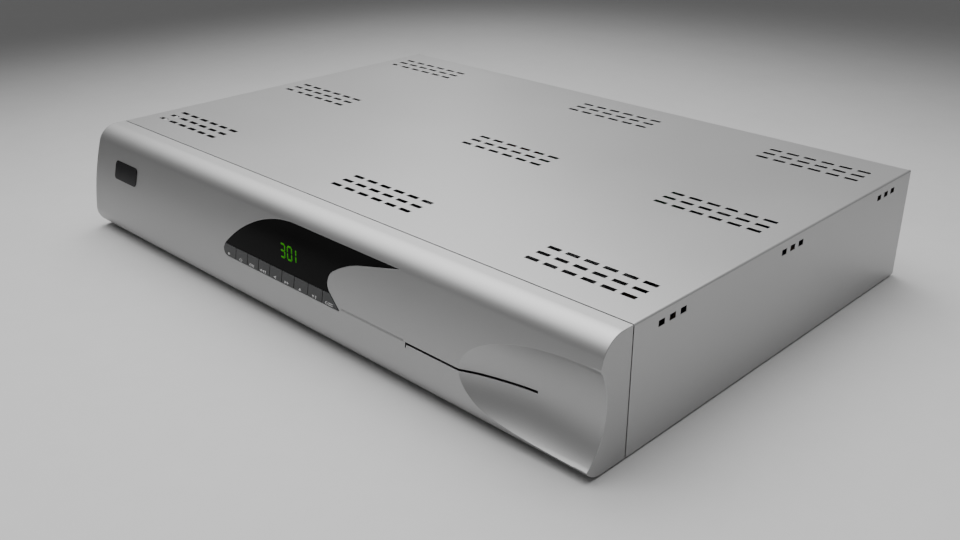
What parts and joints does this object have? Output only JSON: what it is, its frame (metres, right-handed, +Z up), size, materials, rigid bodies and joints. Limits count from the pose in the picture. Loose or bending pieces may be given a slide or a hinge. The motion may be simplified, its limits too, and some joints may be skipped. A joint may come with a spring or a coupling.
{
  "type": "digital video recorder",
  "caption": "Full-width silver video recorder with vented steel cover, fish-tail display over keys, finger scoop with card slot, and rear camera, monitor, network and mains sockets.",
  "frame": {"origin": "under the middle of the whole outline, on the surface the feet stand on", "axes": "+X to the right seen from the front, +Y towards the rear panel, +Z up"},
  "size_m": [0.43, 0.3151, 0.0688],
  "materials": {
    "cover_paint": "satin silver powder coat",
    "pan_steel": "zinc plated",
    "panel_paint": "satin",
    "bezel_plastic": "satin silver moulding",
    "smoked_window": "gloss smoked",
    "badge_black": "gloss",
    "key_plastic": "matt dark grey",
    "board_green": "solder mask",
    "black_plastic": "matt moulded",
    "led_green": "lit",
    "drive_metal": "black cast casing",
    "bright_metal": "nickel plated",
    "aluminium": "extruded",
    "screw_steel": "zinc plated",
    "brass": "plain",
    "red_plastic": "moulded",
    "green_plastic": "moulded",
    "grey_cable": "flat cable",
    "tape_yellow": "tape and wire",
    "supply_brown": "bare board",
    "capacitor_sleeve": "sleeve",
    "foot_rubber": "matt"
  },
  "bodies": {
    "root": {"top_cover": "cover_paint", "base_pan": "pan_steel", "rear_panel": "panel_paint", "front_bezel": "bezel_plastic", "display_window": "smoked_window", "badge_plate": "badge_black", "front_board": "board_green", "tact_switches": "black_plastic", "led_display": "black_plastic", "digit_segments": "led_green", "infrared_receiver": "black_plastic", "card_reader": "black_plastic", "main_board": "board_green", "board_chips": "black_plastic", "heat_sink": "aluminium", "board_capacitors": "capacitor_sleeve", "cell_holder": "black_plastic", "coin_cell": "bright_metal", "hard_drive": "drive_metal", "drive_bracket": "pan_steel", "drive_screws": "screw_steel", "drive_cable": "red_plastic", "ribbon_cable": "grey_cable", "fan_frame": "black_plastic", "fan_guard": "bright_metal", "fan_screws": "screw_steel", "bnc_sockets": "bright_metal", "rca_shells": "bright_metal", "rca_insulators": "red_plastic", "vga_port": "bright_metal", "vga_posts": "bright_metal", "hdmi_port": "bright_metal", "lan_port": "bright_metal", "usb_ports": "bright_metal", "alarm_terminal": "green_plastic", "mains_inlet": "black_plastic", "inlet_pins": "brass", "switch_housing": "black_plastic", "supply_board": "supply_brown", "supply_transformer": "tape_yellow", "supply_capacitors": "capacitor_sleeve", "supply_heat_sink": "aluminium", "power_harness": "tape_yellow", "board_standoffs": "brass", "board_screws": "screw_steel", "bezel_screws": "screw_steel", "cover_screws": "screw_steel", "rear_screws": "screw_steel", "rubber_feet": "foot_rubber"},
    "button_1": {"button_1": "key_plastic"},
    "button_2": {"button_2": "key_plastic"},
    "button_3": {"button_3": "key_plastic"},
    "button_4": {"button_4": "key_plastic"},
    "button_5": {"button_5": "key_plastic"},
    "button_6": {"button_6": "key_plastic"},
    "button_7": {"button_7": "key_plastic"},
    "button_8": {"button_8": "key_plastic"},
    "button_9": {"button_9": "key_plastic"},
    "fan_rotor": {"fan_rotor": "black_plastic"},
    "power_rocker": {"power_rocker": "black_plastic"}
  },
  "joints": [
    {"name": "button_1_press", "type": "slide", "parent": "root", "child": "button_1", "axis": [0, 1, 0], "range_m": [0, 0.0006], "stiffness_N_per_m": 500},
    {"name": "button_2_press", "type": "slide", "parent": "root", "child": "button_2", "axis": [0, 1, 0], "range_m": [0, 0.0006], "stiffness_N_per_m": 500},
    {"name": "button_3_press", "type": "slide", "parent": "root", "child": "button_3", "axis": [0, 1, 0], "range_m": [0, 0.0006], "stiffness_N_per_m": 500},
    {"name": "button_4_press", "type": "slide", "parent": "root", "child": "button_4", "axis": [0, 1, 0], "range_m": [0, 0.0006], "stiffness_N_per_m": 500},
    {"name": "button_5_press", "type": "slide", "parent": "root", "child": "button_5", "axis": [0, 1, 0], "range_m": [0, 0.0006], "stiffness_N_per_m": 500},
    {"name": "button_6_press", "type": "slide", "parent": "root", "child": "button_6", "axis": [0, 1, 0], "range_m": [0, 0.0006], "stiffness_N_per_m": 500},
    {"name": "button_7_press", "type": "slide", "parent": "root", "child": "button_7", "axis": [0, 1, 0], "range_m": [0, 0.0006], "stiffness_N_per_m": 500},
    {"name": "button_8_press", "type": "slide", "parent": "root", "child": "button_8", "axis": [0, 1, 0], "range_m": [0, 0.0006], "stiffness_N_per_m": 500},
    {"name": "button_9_press", "type": "slide", "parent": "root", "child": "button_9", "axis": [0, 1, 0], "range_m": [0, 0.0006], "stiffness_N_per_m": 500},
    {"name": "fan_spin", "type": "hinge", "parent": "root", "child": "fan_rotor", "pos_m": [0.105, 0.1366, 0.035], "axis": [0, 1, 0], "continuous": true},
    {"name": "power_switch", "type": "hinge", "parent": "root", "child": "power_rocker", "pos_m": [0.15, 0.1436, 0.025], "axis": [1, 0, 0], "range_deg": [0, 18]}
  ]
}
